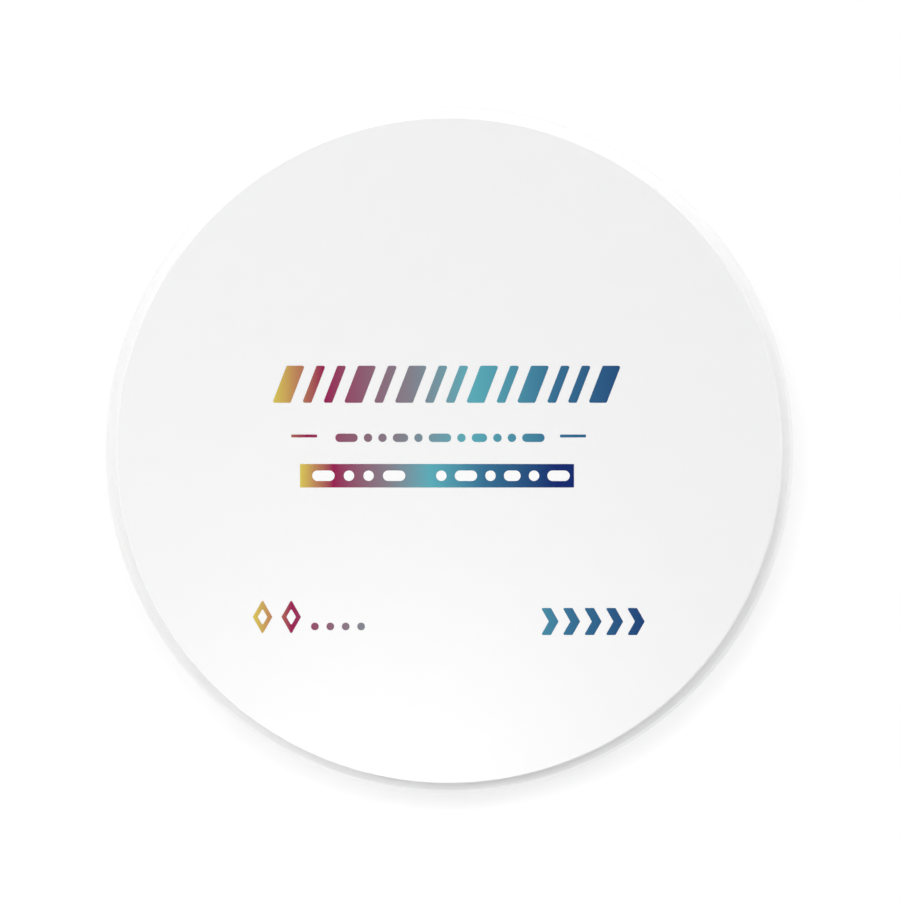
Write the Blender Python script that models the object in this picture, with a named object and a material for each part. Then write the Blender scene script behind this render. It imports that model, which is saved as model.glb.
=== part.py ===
"""Dental milling disc: the round ceramic blank that a dental mill cuts crowns and bridges from.

The blank is one piece. A plain round body is turned at both ends, and a wider flange is left
standing round its middle, for the ring of the mill's holder to clamp. It lies on its back face.
Metres, +Z up, with the origin at the centre of the back face.
Run with: blender --background --python part.py
"""

import math

import bmesh
import bpy
from mathutils import Matrix

# Driving dimensions
BLANK_HEIGHT = 0.030  # back face to front face
BODY_DIAMETER = 0.095  # the two turned ends, and so both faces
FLANGE_DIAMETER = 0.0985  # the size of an open-system holder
FLANGE_HEIGHT = 0.010  # what the holder's ring clamps, at mid height
FACE_EDGE_BREAK = 0.0001  # the small bevel round each face
FLANGE_CHAMFER = 0.0005  # the wider bevel on both rims of the flange
ROOT_RADIUS = 0.0003  # left by the cutter's nose where the body meets the shoulder

# Facets
TURN_STEPS = 180  # sides of the turned shape, a multiple of 4 so that X and Y match
ROOT_STEPS = 4  # sides of the root's quarter round
SMOOTH_BELOW = math.radians(15)  # edges sharper than this stay crisp

# Pre-sintered zirconia, chalk white and dull
BLANK_COLOUR = (0.90, 0.90, 0.895, 1.0)
BLANK_ROUGHNESS = 0.6


def clear_scene():
    for obj in list(bpy.data.objects):
        bpy.data.objects.remove(obj)


def ceramic_material():
    material = bpy.data.materials.new("pre_sintered_ceramic")
    material.use_nodes = True
    material.diffuse_color = BLANK_COLOUR
    shader = material.node_tree.nodes["Principled BSDF"]
    shader.inputs["Base Color"].default_value = BLANK_COLOUR
    shader.inputs["Roughness"].default_value = BLANK_ROUGHNESS
    shader.inputs["Metallic"].default_value = 0.0
    return material


def root_arc(centre_radius, centre_z):
    """The hollow quarter round at the foot of the body's wall, from the wall down to the shoulder."""
    points = []
    for step in range(ROOT_STEPS + 1):
        angle = math.pi + math.pi / 2 * step / ROOT_STEPS
        radius = centre_radius + ROOT_RADIUS * math.cos(angle)
        points.append((radius, centre_z + ROOT_RADIUS * math.sin(angle)))
    return points


def upper_outline():
    """(radius, height above mid height) from the rim of the front face down to the flange's wall."""
    body_radius = BODY_DIAMETER / 2
    flange_radius = FLANGE_DIAMETER / 2
    face_z = BLANK_HEIGHT / 2
    shoulder_z = FLANGE_HEIGHT / 2
    outline = [
        (body_radius - FACE_EDGE_BREAK, face_z),
        (body_radius, face_z - FACE_EDGE_BREAK),
    ]
    outline += root_arc(body_radius + ROOT_RADIUS, shoulder_z + ROOT_RADIUS)
    outline += [
        (flange_radius - FLANGE_CHAMFER, shoulder_z),
        (flange_radius, shoulder_z - FLANGE_CHAMFER),
    ]
    return outline


def blank_outline():
    """The whole section, front rim to back rim: the lower half mirrors the upper one."""
    upper = upper_outline()
    lower = [(radius, -z) for radius, z in reversed(upper)]
    return upper + lower


def turn(name, outline):
    """Spins an outline about Z and closes both ends with a flat face."""
    mesh = bpy.data.meshes.new(name)
    shape = bmesh.new()
    points = [shape.verts.new((radius, 0.0, z)) for radius, z in outline]
    edges = [shape.edges.new(pair) for pair in zip(points, points[1:])]
    bmesh.ops.spin(
        shape,
        geom=points + edges,
        cent=(0.0, 0.0, 0.0),
        axis=(0.0, 0.0, 1.0),
        angle=2 * math.pi,
        steps=TURN_STEPS,
        use_merge=True,
    )
    rims = [edge for edge in shape.edges if edge.is_boundary]
    bmesh.ops.edgeloop_fill(shape, edges=rims)
    bmesh.ops.recalc_face_normals(shape, faces=shape.faces)
    shape.to_mesh(mesh)
    shape.free()
    mesh.shade_smooth()
    mesh.set_sharp_from_angle(angle=SMOOTH_BELOW)
    return mesh


def build():
    clear_scene()
    mesh = turn("milling_blank", blank_outline())
    mesh.materials.append(ceramic_material())
    blank = bpy.data.objects.new("milling_blank", mesh)
    blank.matrix_world = Matrix.Translation((0.0, 0.0, BLANK_HEIGHT / 2))
    bpy.context.scene.collection.objects.link(blank)


build()
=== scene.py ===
"""The looks of a dental milling disc, seen from straight above as it lies on its back face.

A chalk-white turned blank with a clamping flange stands in for the frame's solid, and a generic
print in one running gradient lies on its front face. Metres, +Z up.
"""

import math
from collections import namedtuple

import bmesh
import bpy
from mathutils import Color, Euler, Matrix, Vector


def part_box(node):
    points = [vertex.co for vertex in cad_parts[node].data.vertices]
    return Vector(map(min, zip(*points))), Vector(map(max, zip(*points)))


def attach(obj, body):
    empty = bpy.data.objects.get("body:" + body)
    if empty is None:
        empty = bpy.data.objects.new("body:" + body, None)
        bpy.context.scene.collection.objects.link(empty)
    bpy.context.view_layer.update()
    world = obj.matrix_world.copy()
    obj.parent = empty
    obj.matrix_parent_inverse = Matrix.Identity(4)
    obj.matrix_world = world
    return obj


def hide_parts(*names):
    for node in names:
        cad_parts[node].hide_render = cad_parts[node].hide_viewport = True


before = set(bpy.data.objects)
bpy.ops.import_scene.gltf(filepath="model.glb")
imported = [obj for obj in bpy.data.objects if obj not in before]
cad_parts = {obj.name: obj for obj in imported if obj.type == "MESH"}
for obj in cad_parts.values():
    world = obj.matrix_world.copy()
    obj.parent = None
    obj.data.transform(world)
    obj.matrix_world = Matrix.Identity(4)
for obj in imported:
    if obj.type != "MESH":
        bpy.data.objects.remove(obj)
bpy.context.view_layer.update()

_, blank_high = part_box("milling_blank")

MM = 0.001
HALF = 0.5
FULL_CIRCLE = 360  # degrees
FULL_8_BIT = 255
WHITE = (1, 1, 1, 1)

# The turned shape
FACE_Z = blank_high.z
FLANGE_RADIUS = blank_high.x
BODY_RADIUS = 47.5 * MM
FLANGE_HEIGHT = 10 * MM
FACE_EDGE_BREAK = 0.1 * MM
FLANGE_CHAMFER = 0.5 * MM
ROOT_RADIUS = 0.3 * MM
CORNER_RADIUS = 0.04 * MM  # the turned corners are a little dulled
TURN_STEPS = 360
ARC_STEPS = 4
SAME_POINT = 0.001 * MM

# The photograph's frame, in its own pixels
IMAGE_SIZE = 900
FACE_RADIUS_PX = 332.5
FACE_CENTRE_PX = (448.7, 450.4)

# The camera is far off behind a long lens, so that the face all but hides the body's wall
CAMERA_DISTANCE = 4.5
CAMERA_RIGHT = math.radians(0.57)  # as far off the axis as the photograph's two circles show
CAMERA_UP = math.radians(0.41)
SENSOR = 36  # in millimetres, as lenses are

# What the noises have in common
NOISE_DETAIL = 2  # unless one asks for more
NOISE_ROUGHNESS = 0.5
NOISE_LOW = 0.25  # most of a noise lies between these two
NOISE_HIGH = 0.75

# The ceramic
CERAMIC_WHITE = 0.9
CERAMIC_TINT = 0.004  # how far its white wanders either way
CERAMIC_ROUGHNESS = (0.56, 0.68)
CERAMIC_SHINE = 0.3
CLOUD_SIZE = 14 * MM
PATCH_SIZE = 3 * MM
GRAIN_SIZE = 0.35 * MM
GRAIN_DETAIL = 3
GRAIN_DEPTH = 0.004 * MM
TURNING_PITCH = 0.8 * MM
TURNING_DEPTH = 0.0006 * MM
TURNING_WANDER = 0.4  # of the pitch, either way
WANDER_SIZE = 9 * MM

# The ink
INK_THICKNESS = 0.015 * MM
INK_SUNK = 0.005 * MM  # its underside lies this far inside the face
INK_ROUGHNESS = (0.42, 0.6)
INK_SHINE = 0.05
WHITE_INK = (0.955, 0.975)
GRADIENT = (
    # place along the gradient, 8-bit colour
    (0.00, (215, 196, 85)),  # yellow
    (0.06, (187, 131, 87)),  # tan
    (0.13, (148, 23, 79)),  # crimson
    (0.35, (130, 126, 137)),  # mauve
    (0.51, (89, 170, 183)),  # cyan
    (0.72, (51, 109, 145)),  # mid blue
    (1.00, (5, 35, 105)),  # navy
)

# The print's shapes, in millimetres from the face's centre. Each row of shapes has equal gaps
Field = namedtuple("Field", "left right low high")
Span = namedtuple("Span", "left right")
INK_CORNER = 0.25
INK_CORNER_STEPS = 5
PILL_ROUNDING = 0.98  # of half a pill's height

TITLE = Field(-25.2, 24.6, 6.8, 12.1)
TITLE_LEAN = 2.05
TITLE_WIDTHS = (2.6, 1.3, 1.3, 2.6, 1.3, 2.6, 1.3, 1.3, 2.6, 1.3, 2.6, 1.3, 1.3, 2.6)
TITLE_COLOURS = Span(-25.2, 30.8)

DASHES = (Field(-22.5, -18.8, 1.85, 2.27), Field(15.9, 19.6, 1.85, 2.27))
DASH_CORNER = 0.08
PILL_ROW = Field(-16.2, 13.7, 1.2, 2.4)
PILL_WIDTHS = (3.2, 1.2, 1.2, 2.2, 1.2, 3.2, 1.2, 2.2, 1.2, 1.2, 3.2)
ROW_COLOURS = Span(-28.2, 32.3)

BAR = Field(-21.24, 17.9, -5.3, -1.94)
BAR_CORNER = 0.08
BAR_COLOURS = Span(-21.24, 15.3)
BAR_PILLS_LEFT = Field(-19.5, -6.2, -4.37, -2.87)
BAR_WIDTHS_LEFT = (3.2, 1.5, 1.5, 3.2)
BAR_PILLS_RIGHT = Field(-1.8, 17.3, -4.37, -2.87)
BAR_WIDTHS_RIGHT = (1.5, 3.2, 1.5, 2.4, 1.5, 3.2)

DIAMONDS = (Field(-28.0, -25.2, -26.25, -21.35), Field(-23.9, -21.1, -26.25, -21.35))
MARK_STROKE = 0.62
MARK_CORNER = 0.15
DOT_ROW = Field(-19.67, -11.96, -25.7, -24.6)
DOT_WIDTHS = (1.1, 1.1, 1.1, 1.1)
LOWER_LEFT_COLOURS = Span(-28.1, 15.9)

CHEVRONS = Field(13.2, 28.0, -26.37, -22.51)
CHEVRON_WIDTHS = (2.5, 2.5, 2.5, 2.5, 2.5)
CHEVRON_ARM = 1.4
LOWER_RIGHT_COLOURS = Span(-18.4, 31.2)

# The light. A lamp of strength 1 would by itself show a white card that faces it as white
AMBIENT = 0.08
Lamp = namedtuple("Lamp", "name bearing elevation strength")  # in degrees, from +X towards +Y
OVERHEADS = (
    Lamp("overhead_top", 90, 80, 0.217),
    Lamp("overhead_left", 150, 80, 0.248),
    Lamp("overhead_right", 30, 75, 0.193),
)
OVERHEAD_SPREAD = math.radians(12)
LOW_LAMPS = 6  # evenly spaced round the horizon
LOW_ELEVATION = 6
LOW_STRENGTH = 0.25
LOW_SPREAD = math.radians(8)
LEFT_BOX = Lamp("left_box", 165, 50, 0.067)
LEFT_BOX_DISTANCE = 0.25
LEFT_BOX_SIZE = 0.12
Fill = namedtuple("Fill", "name place aim size watts")  # place, aim and size in millimetres
FILLS = (
    Fill("low_fill", (-25, -85, 70), (-10, -40, 30), 50, 0.0058),
    Fill("face_fill", (-3, -44, 75), (-3, -44, 30), 20, 0.0018),
)

# The floor
FLOOR_SIZE = 6
FLOOR_GREY = (0.35, 0.37)
FLOOR_GRAIN = 2 * MM
FLOOR_ROUGHNESS = 0.9
FLOOR_SHINE = 0.0
FLOOR_LIFT = 0.69  # added to what is seen of the floor, so that it is white outside the shadow


def linear(colour):
    """An 8-bit sRGB colour as Blender's linear RGBA."""
    parts = [value / FULL_8_BIT for value in colour]
    return (*Color(parts).from_srgb_to_scene_linear(), 1.0)


class Nodes:
    """The node tree of a material or world, with short calls to add nodes and join them."""

    def __init__(self, owner):
        owner.use_nodes = True
        self.owner = owner
        self.tree = owner.node_tree

    def join(self, source, target):
        self.tree.links.new(source, target)

    def add(self, kind, inputs=None, **settings):
        node = self.tree.nodes.new(kind)
        for key, value in settings.items():
            setattr(node, key, value)
        for key, value in (inputs or {}).items():
            if isinstance(value, bpy.types.NodeSocket):
                self.join(value, node.inputs[key])
            else:
                node.inputs[key].default_value = value
        return node

    def math(self, operation, first, second=0.0, third=0.0):
        inputs = {0: first, 1: second, 2: third}
        return self.add("ShaderNodeMath", inputs, operation=operation).outputs[0]

    def place(self):
        """The point's place in the object's own metres."""
        return self.add("ShaderNodeTexCoord").outputs["Object"]

    def noise(self, place, size, detail=NOISE_DETAIL):
        """Noise from 0 to 1 whose features are about this many metres across."""
        inputs = {"Vector": place, "Scale": 1 / size, "Detail": detail, "Roughness": NOISE_ROUGHNESS}
        return self.add("ShaderNodeTexNoise", inputs).outputs["Fac"]

    def spread(self, noise, low, high):
        """Noise stretched so that most of it reaches from low to high."""
        inputs = {
            "Value": noise,
            "From Min": NOISE_LOW,
            "From Max": NOISE_HIGH,
            "To Min": low,
            "To Max": high,
        }
        return self.add("ShaderNodeMapRange", inputs).outputs["Result"]

    def grey(self, value):
        inputs = {"Red": value, "Green": value, "Blue": value}
        return self.add("ShaderNodeCombineColor", inputs).outputs["Color"]

    def bump(self, height, depth=1.0):
        """The normal over a height that is in metres once it is multiplied by the depth."""
        inputs = {"Height": height, "Distance": depth}
        return self.add("ShaderNodeBump", inputs).outputs["Normal"]

    def seen(self):
        """1 for camera rays and those that gloss or glass sends on, and otherwise 0."""
        path = self.add("ShaderNodeLightPath").outputs
        mirrored = self.math("MAXIMUM", path["Is Glossy Ray"], path["Is Transmission Ray"])
        return self.math("MAXIMUM", path["Is Camera Ray"], mirrored)


def new_material(name):
    """A new material's nodes and its shader."""
    nodes = Nodes(bpy.data.materials.new(name))
    return nodes, nodes.tree.nodes["Principled BSDF"]


def turning_marks(nodes, place):
    """Waves from 0 to 1 left by the cutter: rings on the flat faces, hoops on the round walls."""
    parts = nodes.add("ShaderNodeSeparateXYZ", {0: place}).outputs
    flat = nodes.add("ShaderNodeCombineXYZ", {"X": parts["X"], "Y": parts["Y"]}).outputs[0]
    radius = nodes.add("ShaderNodeVectorMath", {0: flat}, operation="LENGTH").outputs["Value"]
    travel = nodes.math("ADD", radius, parts["Z"])
    furthest = TURNING_WANDER * TURNING_PITCH
    wander = nodes.spread(nodes.noise(place, WANDER_SIZE), -furthest, furthest)
    angle = nodes.math("MULTIPLY", nodes.math("ADD", travel, wander), 2 * math.pi / TURNING_PITCH)
    return nodes.math("MULTIPLY_ADD", nodes.math("SINE", angle), HALF, HALF)


def ceramic_material():
    """Pre-sintered zirconia: chalk white, dull, with a powder's grain and faint turning marks."""
    nodes, shader = new_material("pre_sintered_ceramic")
    place = nodes.place()
    grain = nodes.noise(place, GRAIN_SIZE, GRAIN_DETAIL)
    cloud = nodes.noise(place, CLOUD_SIZE)
    mottle = nodes.math("MULTIPLY", nodes.math("ADD", grain, cloud), HALF)
    white = nodes.spread(mottle, CERAMIC_WHITE - CERAMIC_TINT, CERAMIC_WHITE + CERAMIC_TINT)
    nodes.join(nodes.grey(white), shader.inputs["Base Color"])
    patches = nodes.noise(place, PATCH_SIZE)
    nodes.join(nodes.spread(patches, *CERAMIC_ROUGHNESS), shader.inputs["Roughness"])
    turned = nodes.math("MULTIPLY", turning_marks(nodes, place), TURNING_DEPTH)
    relief = nodes.math("MULTIPLY_ADD", grain, GRAIN_DEPTH, turned)
    nodes.join(nodes.bump(relief), shader.inputs["Normal"])
    shader.inputs["Specular IOR Level"].default_value = CERAMIC_SHINE
    return nodes.owner


def ink_material(name):
    """Ink soaked into the chalky face: almost dull, with the ceramic's grain showing through."""
    nodes, shader = new_material(name)
    grain = nodes.noise(nodes.place(), GRAIN_SIZE, GRAIN_DETAIL)
    nodes.join(nodes.spread(grain, *INK_ROUGHNESS), shader.inputs["Roughness"])
    nodes.join(nodes.bump(grain, GRAIN_DEPTH), shader.inputs["Normal"])
    shader.inputs["Specular IOR Level"].default_value = INK_SHINE
    return nodes, shader, grain


def gradient_ink(name, span):
    """Ink whose colour runs through the whole gradient from one end of the span to the other."""
    nodes, shader, _ = ink_material(name)
    across = nodes.add("ShaderNodeSeparateXYZ", {0: nodes.place()}).outputs["X"]
    ends = {"Value": across, "From Min": span.left * MM, "From Max": span.right * MM}
    along = nodes.add("ShaderNodeMapRange", ends).outputs["Result"]
    ramp = nodes.add("ShaderNodeValToRGB", {"Fac": along})
    stops = ramp.color_ramp.elements
    while len(stops) < len(GRADIENT):
        stops.new(1.0)
    for stop, (position, colour) in zip(stops, GRADIENT):
        stop.position = position
        stop.color = linear(colour)
    nodes.join(ramp.outputs["Color"], shader.inputs["Base Color"])
    return nodes.owner


def white_ink():
    nodes, shader, grain = ink_material("white_ink")
    nodes.join(nodes.grey(nodes.spread(grain, *WHITE_INK)), shader.inputs["Base Color"])
    return nodes.owner


def floor_material():
    """Grey paper. What is seen of it is lifted to white, and keeps the shadow."""
    nodes, shader = new_material("floor_paper")
    grain = nodes.noise(nodes.place(), FLOOR_GRAIN)
    nodes.join(nodes.grey(nodes.spread(grain, *FLOOR_GREY)), shader.inputs["Base Color"])
    shader.inputs["Roughness"].default_value = FLOOR_ROUGHNESS
    shader.inputs["Specular IOR Level"].default_value = FLOOR_SHINE
    lift = nodes.math("MULTIPLY", nodes.seen(), FLOOR_LIFT)
    glow = nodes.add("ShaderNodeEmission", {"Strength": lift})
    both = nodes.add("ShaderNodeAddShader", {0: shader.outputs[0], 1: glow.outputs[0]})
    nodes.join(both.outputs[0], nodes.tree.nodes["Material Output"].inputs["Surface"])
    return nodes.owner


def corner_arc(before, corner, after, radius, steps):
    """The points of the arc that rounds a corner between two straight sides."""
    inward = (before - corner).normalized()
    outward = (after - corner).normalized()
    opening = inward.angle(outward)
    reach = radius / math.tan(opening / 2)
    middle = (inward + outward).normalized()
    centre = corner + middle * (radius / math.sin(opening / 2))
    start = corner + inward * reach - centre
    turn = start.angle_signed(corner + outward * reach - centre)
    # angle_signed is clockwise, and Matrix.Rotation is not
    return [centre + Matrix.Rotation(-turn * step / steps, 2) @ start for step in range(steps + 1)]


def blank_corners():
    """(radius, height above mid height, corner radius) from the front face's rim to the flange."""
    face = FACE_Z / 2
    shoulder = FLANGE_HEIGHT / 2
    return [
        (BODY_RADIUS - FACE_EDGE_BREAK, face, CORNER_RADIUS),
        (BODY_RADIUS, face - FACE_EDGE_BREAK, CORNER_RADIUS),
        (BODY_RADIUS, shoulder, ROOT_RADIUS),
        (FLANGE_RADIUS - FLANGE_CHAMFER, shoulder, CORNER_RADIUS),
        (FLANGE_RADIUS, shoulder - FLANGE_CHAMFER, CORNER_RADIUS),
    ]


def blank_outline():
    """The rounded section from the axis at the front face to the axis at the back face."""
    upper = blank_corners()
    lower = [(radius, -z, rounding) for radius, z, rounding in reversed(upper)]
    corners = upper + lower
    front, back = Vector((0, FACE_Z / 2)), Vector((0, -FACE_Z / 2))
    path = [front] + [Vector(corner[:2]) for corner in corners] + [back]
    outline = [front]
    for index, corner in enumerate(corners, start=1):
        outline += corner_arc(path[index - 1], path[index], path[index + 1], corner[2], ARC_STEPS)
    return outline + [back]


def add_piece(name, shape, material):
    """An object with this shape and material that rides with the disc."""
    mesh = bpy.data.meshes.new(name)
    bmesh.ops.recalc_face_normals(shape, faces=shape.faces)
    shape.to_mesh(mesh)
    shape.free()
    mesh.materials.append(material)
    piece = bpy.data.objects.new(name, mesh)
    bpy.context.scene.collection.objects.link(piece)
    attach(piece, "root")
    return piece


def add_turned_blank():
    shape = bmesh.new()
    mid_height = FACE_Z / 2
    points = [shape.verts.new((radius, 0, z + mid_height)) for radius, z in blank_outline()]
    edges = [shape.edges.new(pair) for pair in zip(points, points[1:])]
    bmesh.ops.spin(
        shape,
        geom=points + edges,
        cent=(0, 0, 0),
        axis=(0, 0, 1),
        angle=2 * math.pi,
        steps=TURN_STEPS,
        use_merge=True,
    )
    bmesh.ops.remove_doubles(shape, verts=shape.verts, dist=SAME_POINT)
    piece = add_piece("turned_blank", shape, ceramic_material())
    piece.data.shade_smooth()
    piece.modifiers.new("flat_faces_stay_flat", "WEIGHTED_NORMAL")
    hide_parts("milling_blank")


def rounded(corners, radius=INK_CORNER):
    """The closed outline through these corners, with each of them rounded."""
    outline = []
    for index, corner in enumerate(corners):
        after = corners[(index + 1) % len(corners)]
        outline += corner_arc(corners[index - 1], corner, after, radius, INK_CORNER_STEPS)
    return outline


def inset(corners, stroke):
    """The corners of an outline whose sides lie inside those of this one by the stroke."""
    moved = []
    for index, corner in enumerate(corners):
        before = (corners[index - 1] - corner).normalized()
        after = (corners[(index + 1) % len(corners)] - corner).normalized()
        half_opening = before.angle(after) / 2
        moved.append(corner + (before + after).normalized() * stroke / math.sin(half_opening))
    return moved


def box_corners(field, lean=0.0):
    """A field's corners, with its upper side moved to the right by the lean."""
    left, right, low, high = field
    points = ((left, low), (right, low), (right + lean, high), (left + lean, high))
    return [Vector(point) for point in points]


def pill(field):
    """The outline of a bar with round ends that fills this field."""
    return rounded(box_corners(field), PILL_ROUNDING * (field.high - field.low) / 2)


def diamond_corners(field):
    left, right, low, high = field
    across, up = (left + right) / 2, (low + high) / 2
    points = ((across, low), (right, up), (across, high), (left, up))
    return [Vector(point) for point in points]


def chevron_corners(field, arm):
    """A chevron that points right, each of whose two arms is this wide across."""
    left, right, low, high = field
    up = (low + high) / 2
    points = (
        (left, low),
        (left + arm, low),
        (right, up),
        (left + arm, high),
        (left, high),
        (right - arm, up),
    )
    return [Vector(point) for point in points]


def row(field, widths, lean=0.0):
    """The fields of a row of shapes of these widths, which fill this field with equal gaps."""
    gap = (field.right - field.left - lean - sum(widths)) / (len(widths) - 1)
    fields = []
    left = field.left
    for width in widths:
        fields.append(Field(left, left + width, field.low, field.high))
        left += width + gap
    return fields


def join_loops(shape, first, second):
    """Faces between two closed loops of as many points."""
    for index in range(len(first)):
        shape.faces.new((first[index - 1], first[index], second[index], second[index - 1]))


def add_plate(shape, low, high, outline, hole=None):
    """A flat plate of ink between two heights, in the shape of an outline, perhaps with a hole."""
    outlines = [outline, hole] if hole else [outline]
    levels = []
    for z in (low, high):
        loops = [[shape.verts.new((x * MM, y * MM, z)) for x, y in points] for points in outlines]
        if hole:
            join_loops(shape, *loops)
        else:
            shape.faces.new(loops[0])
        levels.append(loops)
    for below, above in zip(*levels):
        join_loops(shape, below, above)


def add_print(name, plates, material, under=0.0):
    """Plates of one ink on the front face, or on the ink under them that is this thick."""
    shape = bmesh.new()
    base = FACE_Z + under
    for plate in plates:
        add_plate(shape, base - INK_SUNK, base + INK_THICKNESS, *plate)
    add_piece(name, shape, material)


def diamond_ring(field):
    """The outline and the hole of a ring that is a diamond outside and inside."""
    corners = diamond_corners(field)
    return rounded(corners, MARK_CORNER), rounded(inset(corners, MARK_STROKE), MARK_CORNER)


def add_title():
    slabs = row(TITLE, TITLE_WIDTHS, TITLE_LEAN)
    plates = [(rounded(box_corners(field, TITLE_LEAN)),) for field in slabs]
    add_print("print_title", plates, gradient_ink("title_ink", TITLE_COLOURS))


def add_middle_row():
    ink = gradient_ink("row_ink", ROW_COLOURS)
    dashes = [(rounded(box_corners(field), DASH_CORNER),) for field in DASHES]
    add_print("print_dashes", dashes, ink)
    add_print("print_pills", [(pill(field),) for field in row(PILL_ROW, PILL_WIDTHS)], ink)


def add_bar():
    plates = [(rounded(box_corners(BAR), BAR_CORNER),)]
    add_print("print_bar", plates, gradient_ink("bar_ink", BAR_COLOURS))
    fields = row(BAR_PILLS_LEFT, BAR_WIDTHS_LEFT) + row(BAR_PILLS_RIGHT, BAR_WIDTHS_RIGHT)
    add_print("print_bar_pills", [(pill(field),) for field in fields], white_ink(), INK_THICKNESS)


def add_lower_left():
    ink = gradient_ink("lower_left_ink", LOWER_LEFT_COLOURS)
    add_print("print_diamonds", [diamond_ring(field) for field in DIAMONDS], ink)
    add_print("print_dots", [(pill(field),) for field in row(DOT_ROW, DOT_WIDTHS)], ink)


def add_lower_right():
    fields = row(CHEVRONS, CHEVRON_WIDTHS)
    plates = [(rounded(chevron_corners(field, CHEVRON_ARM), MARK_CORNER),) for field in fields]
    add_print("print_chevrons", plates, gradient_ink("lower_right_ink", LOWER_RIGHT_COLOURS))


def add_stage():
    bpy.ops.mesh.primitive_plane_add(size=FLOOR_SIZE)
    floor = bpy.context.object
    floor.name = "floor"
    floor.data.materials.append(floor_material())


def add_world():
    """Even light from all round, and white where the camera looks past the floor."""
    world = bpy.data.worlds.new("studio")
    bpy.context.scene.world = world
    nodes = Nodes(world)
    background = nodes.tree.nodes["Background"]
    background.inputs["Color"].default_value = WHITE
    strength = nodes.math("MULTIPLY_ADD", nodes.seen(), 1 - AMBIENT, AMBIENT)
    nodes.join(strength, background.inputs["Strength"])


def towards(bearing, elevation):
    """The direction in which a lamp with this bearing and elevation stands."""
    turn, rise = math.radians(bearing), math.radians(elevation)
    level = math.cos(rise)
    return Vector((level * math.cos(turn), level * math.sin(turn), math.sin(rise)))


def add_lamp(name, kind, direction, energy):
    """A lamp that shines from this direction and that no picture shows."""
    data = bpy.data.lights.new(name, kind)
    data.energy = energy
    lamp = bpy.data.objects.new(name, data)
    lamp.rotation_euler = direction.to_track_quat("Z", "Y").to_euler()
    lamp.visible_camera = False
    bpy.context.scene.collection.objects.link(lamp)
    return lamp


def add_sun(lamp, spread):
    sun = add_lamp(lamp.name, "SUN", towards(lamp.bearing, lamp.elevation), lamp.strength * math.pi)
    sun.data.angle = spread


def add_soft_box(name, place, aim, energy, size):
    box = add_lamp(name, "AREA", place - aim, energy)
    box.location = place
    box.data.shape = "DISK"
    box.data.size = size


def add_suns():
    """The overhead lamps, and the low ones all round that light the walls and bevels."""
    for lamp in OVERHEADS:
        add_sun(lamp, OVERHEAD_SPREAD)
    for step in range(LOW_LAMPS):
        bearing = FULL_CIRCLE * step / LOW_LAMPS
        add_sun(Lamp(f"low_{step}", bearing, LOW_ELEVATION, LOW_STRENGTH), LOW_SPREAD)


def add_soft_boxes():
    """The near lamps that make the face brighter on the left and at the bottom."""
    centre = Vector((0, 0, FACE_Z))
    place = centre + towards(LEFT_BOX.bearing, LEFT_BOX.elevation) * LEFT_BOX_DISTANCE
    energy = LEFT_BOX.strength * (math.pi * LEFT_BOX_DISTANCE) ** 2
    add_soft_box(LEFT_BOX.name, place, centre, energy, LEFT_BOX_SIZE)
    for fill in FILLS:
        place, aim = Vector(fill.place) * MM, Vector(fill.aim) * MM
        add_soft_box(fill.name, place, aim, fill.watts, fill.size * MM)


def add_camera():
    """All but straight above, framed so that the face takes the photograph's place and size."""
    metres_per_px = BODY_RADIUS / FACE_RADIUS_PX
    right = (IMAGE_SIZE / 2 - FACE_CENTRE_PX[0]) * metres_per_px
    up = (FACE_CENTRE_PX[1] - IMAGE_SIZE / 2) * metres_per_px
    data = bpy.data.cameras.new("camera")
    data.sensor_width = SENSOR
    data.lens = SENSOR * CAMERA_DISTANCE / (IMAGE_SIZE * metres_per_px)
    camera = bpy.data.objects.new("camera", data)
    lean = Euler((-CAMERA_UP, CAMERA_RIGHT, 0))
    camera.rotation_euler = lean
    aim = Vector((right, up, FACE_Z))
    camera.location = aim + lean.to_matrix() @ Vector((0, 0, CAMERA_DISTANCE))
    bpy.context.scene.collection.objects.link(camera)
    bpy.context.scene.camera = camera


add_turned_blank()
add_title()
add_middle_row()
add_bar()
add_lower_left()
add_lower_right()
add_stage()
add_world()
add_suns()
add_soft_boxes()
add_camera()
bpy.context.scene.view_settings.view_transform = "Standard"
